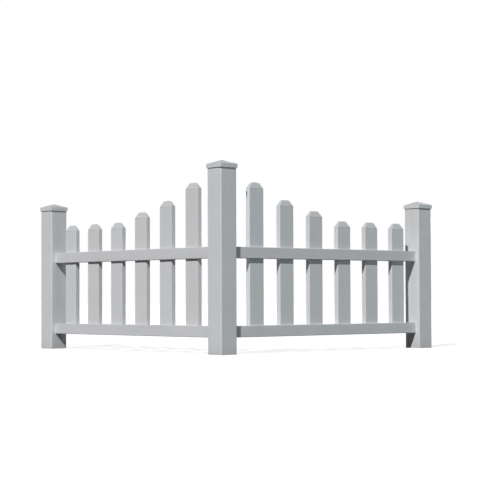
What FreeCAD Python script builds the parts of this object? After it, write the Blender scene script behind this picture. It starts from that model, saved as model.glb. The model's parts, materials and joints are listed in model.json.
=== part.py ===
import FreeCAD, Part
import os

# Corner picket fence of hollow white vinyl. Two short picket panels meet at a
# right angle in a tall corner post and end in two lower posts.
# All sizes are in millimetres. The origin is the centre of the corner post's
# foot, at ground level. +X runs along the right panel, +Y along the left one,
# +Z is up. The left panel mirrors the right one across the corner's diagonal.

# Posts
post_width = 101.6
post_wall = 3.8
post_corner_radius = 6.0
corner_post_height = 924.0
end_post_height = 774.0

# Post caps: a straight skirt that slips over the post, under a low pyramid
post_cap_clearance = 0.3
post_cap_overhang = 4.0
post_cap_skirt_height = 20.0
post_cap_corner_radius = 2.5
post_cap_rise = 19.0
post_cap_roof_thickness = 2.7
post_cap_apex_width = 5.0

# Rails
rail_height = 56.0
rail_depth = 50.0
rail_wall = 2.5
rail_corner_radius = 3.0
rail_end_gap = 4.0
rail_clearance = 0.3
bottom_rail_underside = 82.0
top_rail_underside = 468.0

# Pickets, counted from the corner post outwards; the gaps are from face to face
picket_width = 95.0
picket_depth = 27.0
picket_wall = 2.0
picket_corner_radius = 3.5
picket_clearance = 0.3
corner_gap = 116.5
picket_gap = 109.5
end_gap = 78.5
picket_top_heights = [845.0, 765.0, 716.0, 670.0, 670.0, 670.0]

# Picket caps: a hipped top with a short ridge and a low brim, on a plug inside the picket
picket_cap_clearance = 0.3
picket_cap_wall = 1.6
picket_cap_overhang = 0.6
picket_cap_brim_height = 2.0
picket_cap_rise = 31.0
picket_cap_ridge_length = 48.0
picket_cap_ridge_depth = 8.0
picket_cap_plug_depth = 14.0

# Gap that leaves a stacked piece free to be lifted off its seat
seat_gap = 0.3

# How far a cutting shape runs past the faces that it opens
cut_overrun = 1.0

up = FreeCAD.Vector(0, 0, 1)

# Places along a panel, from the corner post's centre
picket_pitch = picket_width + picket_gap
picket_offsets = [post_width / 2 + corner_gap + picket_width / 2 + index * picket_pitch
                  for index in range(len(picket_top_heights))]
post_spacing = picket_offsets[-1] + picket_width / 2 + end_gap + post_width / 2

# Both rails of a corner reach into its post and stop short of each other there
rail_start = rail_depth / 2 + rail_end_gap
rail_end = post_spacing - rail_start
rail_undersides = {"bottom_rail": bottom_rail_underside, "top_rail": top_rail_underside}

# Pickets stand on the floor of the bottom rail
picket_base = bottom_rail_underside + rail_wall + seat_gap


def corners(x_size, y_size, height):
    """Corner points of a rectangle centred on the Z axis, in order round it."""
    x = x_size / 2
    y = y_size / 2
    return [FreeCAD.Vector(cx, cy, height) for cx, cy in ((x, y), (-x, y), (-x, -y), (x, -y))]


def flat_face(points):
    return Part.Face(Part.makePolygon(points + points[:1]))


def block(x_size, y_size, base, top):
    """Upright solid of rectangular section between two heights."""
    return flat_face(corners(x_size, y_size, base)).extrude(up * (top - base))


def prism(x_size, y_size, radius, base, top):
    """Block with its four upright edges rounded."""
    square = block(x_size, y_size, base, top)
    upright = [edge for edge in square.Edges if edge.BoundBox.ZLength > radius]
    return square.makeFillet(radius, upright)


def tube(x_size, y_size, radius, wall, base, top):
    """Upright hollow extrusion, open at both ends, rounded outside and square inside."""
    outer = prism(x_size, y_size, radius, base, top)
    return outer.cut(block(x_size - 2 * wall, y_size - 2 * wall, base - cut_overrun, top + cut_overrun))


def hip(lower, upper):
    """Four flat slopes between two rectangles, each given as x size, y size and height."""
    foot = corners(*lower)
    ridge = corners(*upper)
    outlines = [foot, ridge]
    for index in range(len(foot)):
        after = (index + 1) % len(foot)
        outlines.append([foot[index], foot[after], ridge[after], ridge[index]])
    return Part.Solid(Part.Shell([flat_face(outline) for outline in outlines]))


def laid_along_x(shape):
    """Turn an upright extrusion so that it runs along +X, its height still vertical."""
    laid = shape.copy()
    laid.rotate(FreeCAD.Vector(0, 0, 0), FreeCAD.Vector(0, 1, 0), 90)
    return laid


def moved(shape, x=0.0, y=0.0, z=0.0):
    placed = shape.copy()
    placed.translate(FreeCAD.Vector(x, y, z))
    return placed


def mirrored_to_left(shape):
    """Mirror image across the vertical plane in which x equals y."""
    return shape.mirror(FreeCAD.Vector(0, 0, 0), FreeCAD.Vector(1, -1, 0))


def rail_pocket(underside, from_x, to_x):
    """Cutting shape of one rail pocket, a running clearance larger than the rail."""
    shape = prism(rail_height + 2 * rail_clearance, rail_depth + 2 * rail_clearance,
                  rail_corner_radius + rail_clearance, from_x, to_x)
    return moved(laid_along_x(shape), z=underside + rail_height / 2)


def corner_post():
    post = tube(post_width, post_width, post_corner_radius, post_wall, 0.0, corner_post_height)
    for underside in rail_undersides.values():
        pocket = rail_pocket(underside, rail_start, post_width / 2 + cut_overrun)
        post = post.cut(pocket)
        post = post.cut(mirrored_to_left(pocket))
    return post


def right_end_post():
    post = tube(post_width, post_width, post_corner_radius, post_wall, 0.0, end_post_height)
    post = moved(post, x=post_spacing)
    for underside in rail_undersides.values():
        near_face = post_spacing - post_width / 2
        post = post.cut(rail_pocket(underside, near_face - cut_overrun, rail_end))
    return post


def post_cap(post_height):
    """Cap on a post at the origin: straight skirt and low pyramid, hollowed from below."""
    inside = post_width + 2 * post_cap_clearance
    outside = post_width + 2 * post_cap_overhang
    ceiling = post_height + seat_gap
    rise_at_ceiling = post_cap_rise * (outside - inside) / (outside - post_cap_apex_width)
    eave = ceiling + post_cap_roof_thickness - rise_at_ceiling
    apex = eave + post_cap_rise
    foot = eave - post_cap_skirt_height
    outer = block(outside, outside, foot, eave).fuse(
        hip((outside, outside, eave), (post_cap_apex_width, post_cap_apex_width, apex)))
    outer = outer.removeSplitter().common(prism(outside, outside, post_cap_corner_radius, foot, apex))
    post_room = block(inside, inside, foot - cut_overrun, ceiling)
    roof_room = hip((inside, inside, ceiling),
                    (post_cap_apex_width, post_cap_apex_width, apex - post_cap_roof_thickness))
    return outer.cut(post_room.fuse(roof_room))


def rail(underside):
    """Hollow rail along +X, routed where the pickets go through it."""
    shape = tube(rail_height, rail_depth, rail_corner_radius, rail_wall, rail_start, rail_end)
    shape = moved(laid_along_x(shape), z=underside + rail_height / 2)
    lowest_cut = underside + rail_height / 2
    if underside > picket_base:
        lowest_cut = underside - cut_overrun
    hole = block(picket_width + 2 * picket_clearance, picket_depth + 2 * picket_clearance,
                 lowest_cut, underside + rail_height + cut_overrun)
    return shape.cut([moved(hole, x=offset) for offset in picket_offsets])


def picket(offset, cap_top):
    """Hollow picket from the bottom rail's floor to just under the brim of its cap."""
    body = tube(picket_width, picket_depth, picket_corner_radius, picket_wall,
                picket_base, cap_top - picket_cap_rise - seat_gap)
    return moved(body, x=offset)


def picket_cap(offset, cap_top):
    """Hollow cap: four slopes rise from a low brim to a short ridge, and a plug fits the picket."""
    outside_x = picket_width + 2 * picket_cap_overhang
    outside_y = picket_depth + 2 * picket_cap_overhang
    brim_radius = picket_corner_radius + picket_cap_overhang
    shoulder = cap_top - picket_cap_rise
    eave = shoulder + picket_cap_brim_height
    top = block(outside_x, outside_y, shoulder, eave).fuse(
        hip((outside_x, outside_y, eave), (picket_cap_ridge_length, picket_cap_ridge_depth, cap_top)))
    top = top.removeSplitter().common(prism(outside_x, outside_y, brim_radius, shoulder, cap_top))

    around_plug = 2 * (picket_wall + picket_cap_clearance)
    plug_x = picket_width - around_plug
    plug_y = picket_depth - around_plug
    plug_foot = shoulder - picket_cap_plug_depth
    plug = block(plug_x, plug_y, plug_foot, shoulder)

    both_walls = 2 * picket_cap_wall
    ceiling = shoulder + picket_cap_wall
    plug_room = block(plug_x - both_walls, plug_y - both_walls, plug_foot - cut_overrun, ceiling)
    top_room = hip((outside_x - both_walls, outside_y - both_walls, ceiling),
                   (picket_cap_ridge_length - both_walls, picket_cap_ridge_depth - both_walls,
                    cap_top - picket_cap_wall))
    return moved(top.fuse(plug).cut(plug_room.fuse(top_room)), x=offset)


def right_panel():
    """Every piece beyond the corner post along +X, by name without its side."""
    pieces = {"end_post": right_end_post()}
    pieces["end_post_cap"] = moved(post_cap(end_post_height), x=post_spacing)
    for name, underside in rail_undersides.items():
        pieces[name] = rail(underside)
    for index, (offset, cap_top) in enumerate(zip(picket_offsets, picket_top_heights)):
        number = index + 1
        pieces["picket_%d" % number] = picket(offset, cap_top)
        pieces["picket_cap_%d" % number] = picket_cap(offset, cap_top)
    return pieces


nodes = {"corner_post": corner_post(), "corner_post_cap": post_cap(corner_post_height)}
for piece_name, piece in right_panel().items():
    nodes["right_" + piece_name] = piece
    nodes["left_" + piece_name] = mirrored_to_left(piece)

os.makedirs("parts", exist_ok=True)
for node_name, shape in nodes.items():
    shape.exportStep("parts/" + node_name + ".step")
    print(node_name, "solids", len(shape.Solids), "valid", shape.isValid(), "volume", round(shape.Volume))
print("total volume in litres", round(sum(shape.Volume for shape in nodes.values()) / 1e6, 4))
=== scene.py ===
import bpy
import json
import math
import numpy as np
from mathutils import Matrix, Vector

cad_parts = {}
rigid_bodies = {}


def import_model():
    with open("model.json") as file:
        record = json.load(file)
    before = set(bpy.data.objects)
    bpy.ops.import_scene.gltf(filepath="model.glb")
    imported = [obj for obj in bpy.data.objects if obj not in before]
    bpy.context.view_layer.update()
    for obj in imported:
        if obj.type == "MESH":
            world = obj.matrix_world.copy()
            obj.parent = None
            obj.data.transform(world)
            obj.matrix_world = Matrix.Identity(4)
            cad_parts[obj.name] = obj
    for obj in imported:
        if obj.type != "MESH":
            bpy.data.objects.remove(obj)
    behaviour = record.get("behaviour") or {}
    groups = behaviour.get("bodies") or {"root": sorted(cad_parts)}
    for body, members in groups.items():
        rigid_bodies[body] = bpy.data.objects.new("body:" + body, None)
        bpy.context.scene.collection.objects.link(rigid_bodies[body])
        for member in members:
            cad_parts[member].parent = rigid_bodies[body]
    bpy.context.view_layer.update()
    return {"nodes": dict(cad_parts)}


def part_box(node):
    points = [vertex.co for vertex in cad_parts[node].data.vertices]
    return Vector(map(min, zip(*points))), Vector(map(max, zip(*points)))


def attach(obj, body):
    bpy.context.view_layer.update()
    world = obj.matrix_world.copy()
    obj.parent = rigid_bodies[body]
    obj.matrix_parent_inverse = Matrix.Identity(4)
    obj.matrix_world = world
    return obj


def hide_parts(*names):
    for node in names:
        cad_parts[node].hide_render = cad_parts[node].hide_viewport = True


# Corner picket fence of hollow white vinyl. Posts, rails and pickets are the CAD
# nodes with their own vinyl, and every cap is a moulded shell made here.

for leftover in list(bpy.data.objects):
    bpy.data.objects.remove(leftover)
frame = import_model()
nodes = frame["nodes"]
print("frame loaded,", len(nodes), "nodes")


def boxOf(nodeName):
    low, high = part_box(nodeName)
    return np.array(low), np.array(high)


def middleOf(nodeName):
    low, high = boxOf(nodeName)
    return (low + high) / 2


def halfOf(nodeName):
    low, high = boxOf(nodeName)
    return (high - low) / 2


# A row of corner points, each cut back by its own length on both legs and joined by a
# parabola: (1-s)^2 A + 2s(1-s) P + s^2 C. The columns are half x, half y, height and corner
# radius; lengths are measured in the first three. One more point stands on each leg, so
# that the flats beside a round edge stay flat when they are shaded smooth.
def roundedProfile(corners, cuts, steps):
    beyondCut = 1.35                   # place of that point, in cuts from the corner
    corners = np.array(corners)
    cuts = np.array(cuts)[:, None]
    inner = corners[1:-1]
    back = corners[:-2] - inner
    ahead = corners[2:] - inner
    back = back / np.linalg.norm(back[:, :3], axis=1)[:, None] * cuts
    ahead = ahead / np.linalg.norm(ahead[:, :3], axis=1)[:, None] * cuts
    s = np.linspace(0, 1, steps)[None, :, None]
    start = (inner + back)[:, None]
    bend = inner[:, None]
    end = (inner + ahead)[:, None]
    arcs = (1 - s) ** 2 * start + 2 * s * (1 - s) * bend + s ** 2 * end
    before = (inner + back * beyondCut)[:, None]
    after = (inner + ahead * beyondCut)[:, None]
    rows = np.concatenate([before, arcs, after], axis=1).reshape(-1, corners.shape[1])
    return np.concatenate([corners[:1], rows, corners[-1:]])


# Rings of rounded rectangles, one for each profile row. A ring is its corner's centre plus
# the radius times (cos, sin) over a quarter turn at each of the four corners, with one
# support point on the straight side past each end of an arc.
def rectangleRings(profile, centre, arcSteps, support):
    mostOfSide = 0.4                   # of half the shorter straight side, for a support point
    halfX, halfY, height, radius = [column[:, None, None] for column in profile.T]
    turn = np.arange(4)[:, None] * math.pi / 2
    angle = (turn + np.linspace(0, math.pi / 2, arcSteps)[None, :])[None]
    signX = np.sign(np.cos(turn + math.pi / 4))[None]
    signY = np.sign(np.sin(turn + math.pi / 4))[None]
    x = signX * (halfX - radius) + radius * np.cos(angle)
    y = signY * (halfY - radius) + radius * np.sin(angle)
    room = np.minimum(support, mostOfSide * (np.minimum(halfX, halfY) - radius))
    # directions from the two ends of an arc along the straight sides beside it
    leadX, leadY = np.sin(turn)[None], -np.cos(turn)[None]
    trailX, trailY = -np.cos(turn)[None], -np.sin(turn)[None]
    x = np.concatenate([x[..., :1] + room * leadX, x, x[..., -1:] + room * trailX], axis=2)
    y = np.concatenate([y[..., :1] + room * leadY, y, y[..., -1:] + room * trailY], axis=2)
    x = x.reshape(len(profile), -1)
    y = y.reshape(len(profile), -1)
    z = np.broadcast_to(height[:, 0], x.shape)
    return np.stack([x + centre[0], y + centre[1], z], axis=2)


# Closed skin over a stack of rings: quads between neighbouring rings, and a fan of
# triangles from the first and the last ring to their own middles.
def skinOver(rings, name):
    rows, columns = rings.shape[:2]
    here = np.arange(columns)
    beside = (here + 1) % columns
    level = np.arange(rows - 1)[:, None] * columns
    above = level + columns
    quads = np.stack([level + here, level + beside, above + beside, above + here], axis=2)
    last = (rows - 1) * columns
    firstPole = rows * columns
    lastPole = firstPole + 1
    firstFan = np.stack([np.full(columns, firstPole), beside, here], axis=1)
    lastFan = np.stack([np.full(columns, lastPole), last + here, last + beside], axis=1)
    poles = [rings[0].mean(axis=0), rings[-1].mean(axis=0)]
    points = np.concatenate([rings.reshape(-1, 3), poles])
    faces = quads.reshape(-1, 4).tolist() + firstFan.tolist() + lastFan.tolist()
    mesh = bpy.data.meshes.new(name)
    mesh.from_pydata(points.tolist(), [], faces)
    mesh.shade_smooth()
    piece = bpy.data.objects.new(name, mesh)
    bpy.context.scene.collection.objects.link(piece)
    return piece


# A node with its inputs given as plain values or as sockets to link from
def addNode(tree, kind, inputs=None, **settings):
    node = tree.nodes.new(kind)
    for key, value in settings.items():
        setattr(node, key, value)
    for key, value in (inputs or {}).items():
        if isinstance(value, bpy.types.NodeSocket):
            tree.links.new(value, node.inputs[key])
        else:
            node.inputs[key].default_value = value
    return node


def mathNode(tree, operation, first, second=0.0, third=0.0):
    inputs = {0: first, 1: second, 2: third}
    return addNode(tree, "ShaderNodeMath", inputs, operation=operation).outputs[0]


# Smooth step from one value to another, put out between two more
def ramp(tree, value, fromMin, fromMax, toMin=0.0, toMax=1.0):
    inputs = {"Value": value, "From Min": fromMin, "From Max": fromMax,
              "To Min": toMin, "To Max": toMax}
    node = addNode(tree, "ShaderNodeMapRange", inputs, interpolation_type="SMOOTHSTEP")
    return node.outputs["Result"]


def noise(tree, vector, scale, detail, roughness, distortion=0.0):
    inputs = {"Vector": vector, "Scale": scale, "Detail": detail, "Roughness": roughness,
              "Distortion": distortion}
    return addNode(tree, "ShaderNodeTexNoise", inputs).outputs[0]


# Sockets 0, 6 and 7 of a Mix node are the amount and the two colours, and 2 is the result
def mixColour(tree, amount, first, second):
    inputs = {0: amount, 6: first, 7: second}
    return addNode(tree, "ShaderNodeMix", inputs, data_type="RGBA").outputs[2]


def newGroup(name, inputs, outputs):
    tree = bpy.data.node_groups.new(name, "ShaderNodeTree")
    for socketName, socketType, value in inputs:
        socket = tree.interface.new_socket(socketName, in_out="INPUT", socket_type=socketType)
        if value is not None:
            socket.default_value = value
    for socketName, socketType in outputs:
        tree.interface.new_socket(socketName, in_out="OUTPUT", socket_type=socketType)
    return tree, tree.nodes.new("NodeGroupInput").outputs, tree.nodes.new("NodeGroupOutput").inputs


# In the dictionaries of the four groups a noise is its scale, detail and roughness
# (and distortion), and a range is where its smooth step starts and ends
dieLineLook = {
    "spacing": 0.002,                  # metres from line to line
    "length": 0.4,                     # metres that a line keeps its depth
    "fine": (1.0, 3.0, 0.6),
    "broad": (0.14, 2.0, 0.5),
    "waver": (9.0, 1.0, 0.4),
    "fineHeight": 0.25,
    "broadHeight": 0.9,
    "fineTone": 0.4,
    "broadTone": 0.6,
}


# Lines that a die leaves along an extrusion: noise drawn out along Z, fine and broad,
# with a slow waver of the flats
def makeDieLines():
    look = dieLineLook
    tree, given, out = newGroup("dieLines",
                                [("Vector", "NodeSocketVector", None),
                                 ("Spacing", "NodeSocketFloat", look["spacing"]),
                                 ("Length", "NodeSocketFloat", look["length"])],
                                [("Height", "NodeSocketFloat"), ("Tone", "NodeSocketFloat")])
    across = mathNode(tree, "DIVIDE", 1.0, given["Spacing"])
    along = mathNode(tree, "DIVIDE", 1.0, given["Length"])
    stretch = addNode(tree, "ShaderNodeCombineXYZ", {0: across, 1: across, 2: along}).outputs[0]
    drawn = addNode(tree, "ShaderNodeVectorMath", {0: given["Vector"], 1: stretch},
                    operation="MULTIPLY").outputs[0]
    fine = noise(tree, drawn, *look["fine"])
    broad = noise(tree, drawn, *look["broad"])
    waver = noise(tree, given["Vector"], *look["waver"])
    height = mathNode(tree, "MULTIPLY_ADD", broad, look["broadHeight"], waver)
    height = mathNode(tree, "MULTIPLY_ADD", fine, look["fineHeight"], height)
    tone = mathNode(tree, "MULTIPLY", broad, look["broadTone"])
    tone = mathNode(tree, "MULTIPLY_ADD", fine, look["fineTone"], tone)
    tree.links.new(height, out["Height"])
    tree.links.new(tone, out["Tone"])
    return tree


mouldedLook = {
    "peel": (620.0, 2.0, 0.5),
    "dimples": (170.0, 2.0, 0.5),
    "flow": (22.0, 2.0, 0.5, 1.4),
    "peelHeight": 0.3,
}


# Skin of an injection moulding: a fine orange peel over a slow flow of the melt
def makeMouldedSkin():
    tree, given, out = newGroup("mouldedSkin",
                                [("Vector", "NodeSocketVector", None)],
                                [("Height", "NodeSocketFloat"), ("Tone", "NodeSocketFloat")])
    peel = noise(tree, given["Vector"], *mouldedLook["peel"])
    dimples = noise(tree, given["Vector"], *mouldedLook["dimples"])
    height = mathNode(tree, "MULTIPLY_ADD", peel, mouldedLook["peelHeight"], dimples)
    tree.links.new(height, out["Height"])
    tree.links.new(noise(tree, given["Vector"], *mouldedLook["flow"]), out["Tone"])
    return tree


weatherAndTopShadeLook = {
    "splashHeight": 0.05,              # of a piece that doesn't say its own
    "splashFull": -0.03,               # level at which the splash is strongest
    "blotches": (38.0, 4.0, 0.6),
    "ragged": 0.05,                    # how far the blotches shift the splash's upper edge
    "dustAndShadePower": 0.7,                  # of the upward part; under 1, the dust and its painted shade reach a steep slope too
    "film": (60.0, 5.0, 0.65),
    "filmRange": (0.3, 0.7),
    "filmLeast": 0.8,                  # share of the dust and painted top shade where the film is thinnest
    "specks": (210.0, 1.0, 0.5),
    "speckRange": (0.72, 0.80),
}


# Marks of standing outdoors: soil splashed on the lowest part, dust on what faces up
# together with painted shade that darkens those upward faces, and sparse specks
def makeWeatherMarksAndTopShade():
    look = weatherAndTopShadeLook
    tree, given, out = newGroup("weatherMarksAndTopShade",
                                [("Vector", "NodeSocketVector", None),
                                 ("Splash Height", "NodeSocketFloat", look["splashHeight"])],
                                [("Splash", "NodeSocketFloat"), ("DustAndTopShade", "NodeSocketFloat"),
                                 ("Specks", "NodeSocketFloat")])
    height = addNode(tree, "ShaderNodeSeparateXYZ", {0: given["Vector"]}).outputs[2]
    blotches = noise(tree, given["Vector"], *look["blotches"])
    ragged = mathNode(tree, "MULTIPLY_ADD", blotches, -look["ragged"], height)
    top = mathNode(tree, "ADD", given["Splash Height"], -look["ragged"] / 2)
    low = ramp(tree, ragged, look["splashFull"], top, 1.0, 0.0)
    tree.links.new(mathNode(tree, "MULTIPLY", low, blotches), out["Splash"])

    # Painted shade: upward faces are darkened, partly as real dust and partly to keep sunlit tops
    # about as dark as the walls
    normal = addNode(tree, "ShaderNodeNewGeometry").outputs["Normal"]
    facing = addNode(tree, "ShaderNodeSeparateXYZ", {0: normal}).outputs[2]
    upward = mathNode(tree, "POWER", mathNode(tree, "MAXIMUM", facing, 0.0), look["dustAndShadePower"])
    film = noise(tree, given["Vector"], *look["film"])
    film = ramp(tree, film, *look["filmRange"], look["filmLeast"])
    tree.links.new(mathNode(tree, "MULTIPLY", upward, film), out["DustAndTopShade"])

    specks = ramp(tree, noise(tree, given["Vector"], *look["specks"]), *look["speckRange"])
    tree.links.new(specks, out["Specks"])
    return tree


rubLook = {
    "reach": 0.008,                    # metres from the corner where the rubbing ends
    "half": 0.05,                      # half of a section that doesn't say its own
    "patches": (75.0, 5.0, 0.62),
    "patchRange": (0.46, 0.66),
}


# Rubbing along the long corners of a section, where the distance to the corner is
# (half u - |u|) + (half w - |w|), broken up by noise
def makeCornerRub():
    look = rubLook
    tree, given, out = newGroup("cornerRub",
                                [("U", "NodeSocketFloat", 0.0),
                                 ("W", "NodeSocketFloat", 0.0),
                                 ("Half U", "NodeSocketFloat", look["half"]),
                                 ("Half W", "NodeSocketFloat", look["half"]),
                                 ("Reach", "NodeSocketFloat", look["reach"]),
                                 ("Vector", "NodeSocketVector", None)],
                                [("Mask", "NodeSocketFloat")])
    fromU = mathNode(tree, "SUBTRACT", given["Half U"], mathNode(tree, "ABSOLUTE", given["U"]))
    fromW = mathNode(tree, "SUBTRACT", given["Half W"], mathNode(tree, "ABSOLUTE", given["W"]))
    distance = mathNode(tree, "ADD", fromU, fromW)
    near = ramp(tree, distance, 0.0, given["Reach"], 1.0, 0.0)
    patches = ramp(tree, noise(tree, given["Vector"], *look["patches"]), *look["patchRange"])
    tree.links.new(mathNode(tree, "MULTIPLY", near, patches), out["Mask"])
    return tree


dieLines = makeDieLines()
mouldedSkin = makeMouldedSkin()
weatherMarksAndTopShade = makeWeatherMarksAndTopShade()
cornerRub = makeCornerRub()
print("shader groups")

# The white vinyl of every piece
vinyl = {
    "colour": (0.765, 0.768, 0.770, 1.0),
    "paleColour": (0.790, 0.793, 0.798, 1.0),
    "shadeColour": (0.730, 0.732, 0.728, 1.0),
    "soilColour": (0.300, 0.262, 0.205, 1.0),
    # The dust colour below also paints shade onto upward faces
    "dustAndTopShadeColour": (0.400, 0.398, 0.400, 1.0),
    "rubColour": (0.700, 0.700, 0.690, 1.0),
    "toneRange": (0.3, 0.7),           # of the skin's tone, from shade to full colour
    "mottle": (5.5, 3.0, 0.55),        # noise of the broad pale patches
    "mottleRange": (0.35, 0.70),
    "mottleAmount": 0.60,
    "splashAmount": 0.30,
    "dustAndTopShadeAmount": 0.75,
    "speckAmount": 0.22,
    "rubAmount": 0.45,
    "roughness": 0.40,
    "roughnessSpread": 0.10,           # between the least and the most that the skin's tone makes
    "rubRoughness": 0.30,              # added where it is rubbed through
    "dirtRoughness": 0.40,             # added under full dust or splash
    "ior": 1.53,
    "sheen": 0.06,                     # what the weathered skin keeps of its gloss, 0.5 is all
}


# settings give the skin group, how the pattern turns, the tone against the common colours,
# the relief of the skin in metres, the height of the splash, and the two axes across the
# piece as (axis, place of the first piece, pitch or 0, half size), or none without rubbing
def makeVinyl(name, settings):
    def toned(colourName):
        return (*[value * settings["tone"] for value in vinyl[colourName][:3]], 1.0)

    material = bpy.data.materials.new(name)
    material.use_nodes = True
    tree = material.node_tree
    tree.nodes.clear()
    output = tree.nodes.new("ShaderNodeOutputMaterial")
    place = tree.nodes.new("ShaderNodeTexCoord").outputs["Object"]
    turned = addNode(tree, "ShaderNodeMapping",
                     {"Vector": place, "Rotation": settings["turn"]}).outputs[0]
    skin = addNode(tree, "ShaderNodeGroup", node_tree=settings["skin"])
    tree.links.new(turned, skin.inputs["Vector"])
    marks = addNode(tree, "ShaderNodeGroup", node_tree=weatherMarksAndTopShade)
    tree.links.new(place, marks.inputs["Vector"])
    marks.inputs["Splash Height"].default_value = settings["splashHeight"]

    tone = ramp(tree, skin.outputs["Tone"], *vinyl["toneRange"])
    colour = mixColour(tree, tone, toned("shadeColour"), toned("colour"))
    mottle = ramp(tree, noise(tree, place, *vinyl["mottle"]), *vinyl["mottleRange"])
    mottle = mathNode(tree, "MULTIPLY", mottle, vinyl["mottleAmount"])
    colour = mixColour(tree, mottle, colour, toned("paleColour"))
    roughness = mathNode(tree, "MULTIPLY_ADD", skin.outputs["Tone"], vinyl["roughnessSpread"],
                         vinyl["roughness"] - vinyl["roughnessSpread"] / 2)

    if settings["across"]:
        parts = addNode(tree, "ShaderNodeSeparateXYZ", {0: place}).outputs
        rub = addNode(tree, "ShaderNodeGroup", node_tree=cornerRub)
        tree.links.new(place, rub.inputs["Vector"])
        for letter, (axis, first, pitch, half) in zip("UW", settings["across"]):
            local = mathNode(tree, "SUBTRACT", parts[axis], first)
            if pitch:
                local = mathNode(tree, "WRAP", local, pitch / 2, -pitch / 2)
            tree.links.new(local, rub.inputs[letter])
            rub.inputs["Half " + letter].default_value = half
        rubbed = mathNode(tree, "MULTIPLY", rub.outputs["Mask"], vinyl["rubAmount"])
        colour = mixColour(tree, rubbed, colour, vinyl["rubColour"])
        roughness = mathNode(tree, "MULTIPLY_ADD", rubbed, vinyl["rubRoughness"], roughness)

    # Dust and painted shade darken what faces up
    dustAndTopShade = mathNode(tree, "MULTIPLY", marks.outputs["DustAndTopShade"], vinyl["dustAndTopShadeAmount"])
    colour = mixColour(tree, dustAndTopShade, colour, vinyl["dustAndTopShadeColour"])
    specks = mathNode(tree, "MULTIPLY", marks.outputs["Specks"], vinyl["speckAmount"])
    colour = mixColour(tree, specks, colour, vinyl["soilColour"])
    splash = mathNode(tree, "MULTIPLY", marks.outputs["Splash"], vinyl["splashAmount"])
    colour = mixColour(tree, splash, colour, vinyl["soilColour"])
    dirt = mathNode(tree, "ADD", splash, dustAndTopShade)
    roughness = mathNode(tree, "MULTIPLY_ADD", dirt, vinyl["dirtRoughness"], roughness)

    bump = addNode(tree, "ShaderNodeBump", {"Height": skin.outputs["Height"], "Strength": 1.0,
                                            "Distance": settings["relief"]})
    shader = addNode(tree, "ShaderNodeBsdfPrincipled", {"Base Color": colour, "Roughness": roughness,
                                                        "Normal": bump.outputs[0], "IOR": vinyl["ior"],
                                                        "Specular IOR Level": vinyl["sheen"]})
    tree.links.new(shader.outputs[0], output.inputs["Surface"])
    return material


# Half sizes and pitches of the sections, from the frame
postHalf = halfOf("corner_post")[0]
postSpacing = middleOf("right_end_post")[0]
picketHalf = halfOf("right_picket_1")
firstPicket = middleOf("right_picket_1")[0]
picketPitch = middleOf("right_picket_2")[0] - firstPicket
railHalf = halfOf("right_bottom_rail")
railMiddle = middleOf("right_bottom_rail")[2]
railPitch = middleOf("right_top_rail")[2] - railMiddle

# Turns that lay the die lines along Z, X and Y
upright = (0, 0, 0)
alongX = (0, -math.pi / 2, 0)
alongY = (math.pi / 2, 0, 0)

postVinyl = makeVinyl("postVinyl", {
    "skin": dieLines, "turn": upright, "tone": 1.0, "relief": 0.00022, "splashHeight": 0.06,
    "across": [(0, 0.0, postSpacing, postHalf), (1, 0.0, postSpacing, postHalf)]})
capVinyl = makeVinyl("capVinyl", {
    "skin": mouldedSkin, "turn": upright, "tone": 1.0, "relief": 0.00012, "splashHeight": 0.0,
    "across": []})
picketVinyl = {}
railVinyl = {}
for side, along, lying in (("right", 0, alongX), ("left", 1, alongY)):
    picketVinyl[side] = makeVinyl(side + "PicketVinyl", {
        "skin": dieLines, "turn": upright, "tone": 1.0, "relief": 0.00018, "splashHeight": 0.05,
        "across": [(along, firstPicket, picketPitch, picketHalf[0]),
                   (1 - along, 0.0, 0, picketHalf[1])]})
    railVinyl[side] = makeVinyl(side + "RailVinyl", {
        "skin": dieLines, "turn": lying, "tone": 0.965, "relief": 0.00018, "splashHeight": 0.05,
        "across": [(1 - along, 0.0, 0, railHalf[1]),
                   (2, railMiddle, railPitch, railHalf[2])]})

for nodeName, node in nodes.items():
    if nodeName.endswith("post"):
        finish = postVinyl
    elif "rail" in nodeName:
        finish = railVinyl[nodeName.split("_")[0]]
    elif "cap" in nodeName:
        finish = capVinyl
    else:
        finish = picketVinyl[nodeName.split("_")[0]]
    for materialSlot in node.material_slots:
        materialSlot.material = finish
print("vinyl on the extrusions")


# Closed skin of one cap from its profile's corners, which stands for the node it is named after
def capMoulding(nodeName, corners, cap):
    profile = roundedProfile(corners, cap["edgeCuts"], cap["edgeSteps"])
    rings = rectangleRings(profile, middleOf(nodeName), cap["arcSteps"], cap["support"])
    piece = skinOver(rings, nodeName + "_moulding")
    piece.data.materials.append(capVinyl)
    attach(piece, "root")
    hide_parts(nodeName)
    return piece


# Caps of the three posts
postCap = {
    "wall": 0.0037,                    # outside to the room for the post
    "ceiling": 0.01864,                # top of that room above the foot
    "rise": 0.0190,
    "roofThickness": 0.0027,
    "apexHalf": 0.0025,
    "poleHalf": 0.00025,               # smallest ring, inside which the apex is closed
    "cornerRadius": 0.0025,            # in plan, as the three radii below
    "insideRadius": 0.0020,
    "apexRadius": 0.00225,
    "poleRadius": 0.000225,
    "edgeCuts": [0.0005, 0.0004, 0.0006, 0.0014, 0.0018],
    "edgeSteps": 6,
    "arcSteps": 7,
    "support": 0.0006,
}


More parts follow.
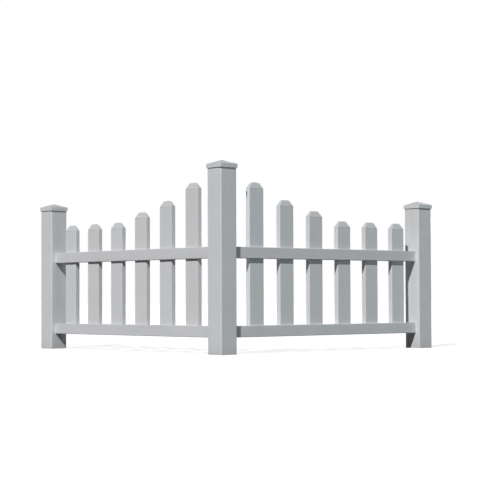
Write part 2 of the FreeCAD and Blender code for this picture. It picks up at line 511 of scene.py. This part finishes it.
# Profile from the underside of the apex down the inside, round the foot, up the skirt
# and over the eave to the apex
def postCapPiece(nodeName):
    low, high = boxOf(nodeName)
    half = halfOf(nodeName)[0]
    foot, apex = low[2], high[2]
    eave = apex - postCap["rise"]
    inside = half - postCap["wall"]
    tip = postCap["apexHalf"]
    pole = postCap["poleHalf"]
    corners = [(tip, tip, apex - postCap["roofThickness"], postCap["insideRadius"]),
               (inside, inside, foot + postCap["ceiling"], postCap["insideRadius"]),
               (inside, inside, foot, postCap["insideRadius"]),
               (half, half, foot, postCap["cornerRadius"]),
               (half, half, eave, postCap["cornerRadius"]),
               (tip, tip, apex, postCap["apexRadius"]),
               (pole, pole, apex, postCap["poleRadius"])]
    return capMoulding(nodeName, corners, postCap)


postCaps = [postCapPiece(side + "_post_cap") for side in ("corner", "right_end", "left_end")]
print("post caps", len(postCaps))

# Caps of the pickets
picketCap = {
    "wall": 0.0016,
    "brimInset": 0.0004,               # from the solid's brim, almost flush with the picket
    "brimHeight": 0.0020,
    "plugInset": 0.0029,               # from the solid's brim to the outside of the plug
    "plugDepth": 0.0140,
    "ridgeHalf": (0.0240, 0.0040),     # along the panel and across it
    "flatHalf": (0.0150, 0.0007),      # what stays level on top between the rounded ends
    "cornerRadius": 0.0041,            # in plan, as the four radii below
    "insideRadius": 0.0020,
    "plugRadius": 0.0010,
    "ridgeRadius": 0.0020,
    "flatRadius": 0.0006,
    "edgeCuts": [0.0003, 0.0003, 0.0004, 0.0004, 0.0003, 0.0004, 0.0008, 0.0058],
    "edgeSteps": 7,
    "arcSteps": 5,
    "support": 0.0003,
}


# Profile from the underside of the ridge down the inside of the slopes and the plug, round
# the plug's foot and up its outside, out under the brim, and up the slopes to the flat ridge
def picketCapPiece(nodeName):
    low, high = boxOf(nodeName)
    half = halfOf(nodeName)[:2]
    order = [0, 1] if half[0] > half[1] else [1, 0]      # the long side runs along X or Y
    ridge = np.array(picketCap["ridgeHalf"])[order]
    flat = np.array(picketCap["flatHalf"])[order]
    brim = half - picketCap["brimInset"]
    plug = half - picketCap["plugInset"]
    wall = picketCap["wall"]
    foot, top = low[2], high[2]
    shoulder = foot + picketCap["plugDepth"]
    eave = shoulder + picketCap["brimHeight"]
    corners = [(*(ridge - wall), top - wall, picketCap["plugRadius"]),
               (*(half - wall), shoulder + wall, picketCap["insideRadius"]),
               (*(plug - wall), shoulder + wall, picketCap["plugRadius"]),
               (*(plug - wall), foot, picketCap["plugRadius"]),
               (*plug, foot, picketCap["plugRadius"]),
               (*plug, shoulder, picketCap["plugRadius"]),
               (*brim, shoulder, picketCap["cornerRadius"]),
               (*brim, eave, picketCap["cornerRadius"]),
               (*ridge, top, picketCap["ridgeRadius"]),
               (*flat, top, picketCap["flatRadius"])]
    return capMoulding(nodeName, corners, picketCap)


perPanel = sum(nodeName.startswith("right_picket_cap_") for nodeName in nodes)
picketCaps = [picketCapPiece(side + "_picket_cap_%d" % (index + 1))
              for side in ("right", "left") for index in range(perPanel)]
print("picket caps", len(picketCaps))

# Floor and background
studio = {
    "floorReach": 40.0,
    "floorLevel": -0.0005,
    "floorGlow": 0.80,                       # seen by the camera only, so the shadow stays faint
    "floorSheen": (0.35, 0.35, 0.35, 1.0),   # share of the real light that the camera sees
    "floorColour": (0.08, 0.08, 0.08, 1.0),  # what the floor gives back to the fence
    "skyColour": (0.86, 0.985, 1.0, 1.0),
    "skyStrength": 0.055,
    "white": (1.0, 1.0, 1.0, 1.0),
}


# One shader where the camera, a reflection or a view through glass looks straight at it,
# and another for the light that it gives to the rest
def seenOrGiven(tree, seen, given):
    path = tree.nodes.new("ShaderNodeLightPath").outputs
    mirrored = mathNode(tree, "MAXIMUM", path["Is Glossy Ray"], path["Is Transmission Ray"])
    direct = mathNode(tree, "MAXIMUM", path["Is Camera Ray"], mirrored)
    return addNode(tree, "ShaderNodeMixShader", {0: direct, 1: given, 2: seen}).outputs[0]


reach = studio["floorReach"]
level = studio["floorLevel"]
signs = ((-1, -1), (1, -1), (1, 1), (-1, 1))
floorCorners = [(signX * reach, signY * reach, level) for signX, signY in signs]
floorMesh = bpy.data.meshes.new("floor")
floorMesh.from_pydata(floorCorners, [], [(0, 1, 2, 3)])
floor = bpy.data.objects.new("floor", floorMesh)
bpy.context.scene.collection.objects.link(floor)

floorMaterial = bpy.data.materials.new("whiteFloor")
floorMaterial.use_nodes = True
tree = floorMaterial.node_tree
tree.nodes.clear()
glow = addNode(tree, "ShaderNodeEmission",
               {"Color": studio["white"], "Strength": studio["floorGlow"]}).outputs[0]
lit = addNode(tree, "ShaderNodeBsdfDiffuse", {"Color": studio["floorSheen"]}).outputs[0]
seen = addNode(tree, "ShaderNodeAddShader", {0: glow, 1: lit}).outputs[0]
bounce = addNode(tree, "ShaderNodeBsdfDiffuse", {"Color": studio["floorColour"]}).outputs[0]
addNode(tree, "ShaderNodeOutputMaterial", {"Surface": seenOrGiven(tree, seen, bounce)})
floorMesh.materials.append(floorMaterial)

world = bpy.data.worlds.new("studioWorld")
bpy.context.scene.world = world
world.use_nodes = True
tree = world.node_tree
tree.nodes.clear()
sky = addNode(tree, "ShaderNodeBackground",
              {"Color": studio["skyColour"], "Strength": studio["skyStrength"]}).outputs[0]
white = addNode(tree, "ShaderNodeBackground", {"Color": studio["white"], "Strength": 1.0}).outputs[0]
addNode(tree, "ShaderNodeOutputWorld", {"Surface": seenOrGiven(tree, white, sky)})

# For each lamp the direction towards it, its strength, spread in degrees and colour. The
# back light is for the sides that the sun leaves dark.
lamps = {
    "sunLight": ((-1.0, -0.50, 1.10), 3.10, 0.6, (0.970, 0.970, 1.0)),
    "fillLight": ((0.0, -1.0, 0.35), 0.34, 30.0, (0.77, 0.985, 1.0)),
    "backLight": ((1.0, 0.65, 0.15), 2.30, 30.0, (0.95, 0.985, 1.0)),
}
for lampName, (towards, strength, spread, colour) in lamps.items():
    lampData = bpy.data.lights.new(lampName, "SUN")
    lampData.energy = strength
    lampData.color = colour
    lampData.angle = math.radians(spread)
    lamp = bpy.data.objects.new(lampName, lampData)
    lamp.rotation_euler = Vector(towards).to_track_quat("Z", "Y").to_euler()
    bpy.context.scene.collection.objects.link(lamp)

view = {
    "place": (-5.0219, -5.7709, 0.2774),
    "turn": math.radians(-41.675),     # from looking along +Y
    "tilt": math.radians(2.079),       # up from level
    "roll": math.radians(0.20),
    "lens": 118.363,                   # millimetres, as the sensor's width
    "sensorWidth": 36.0,
    "clipEnd": 200.0,
}
cameraData = bpy.data.cameras.new("camera")
cameraData.lens = view["lens"]
cameraData.sensor_width = view["sensorWidth"]
cameraData.clip_end = view["clipEnd"]
camera = bpy.data.objects.new("camera", cameraData)
camera.location = view["place"]
camera.rotation_euler = (math.pi / 2 + view["tilt"], view["roll"], view["turn"])
bpy.context.scene.collection.objects.link(camera)
bpy.context.scene.camera = camera

bpy.context.scene.view_settings.view_transform = "Standard"
print("floor, light and camera")
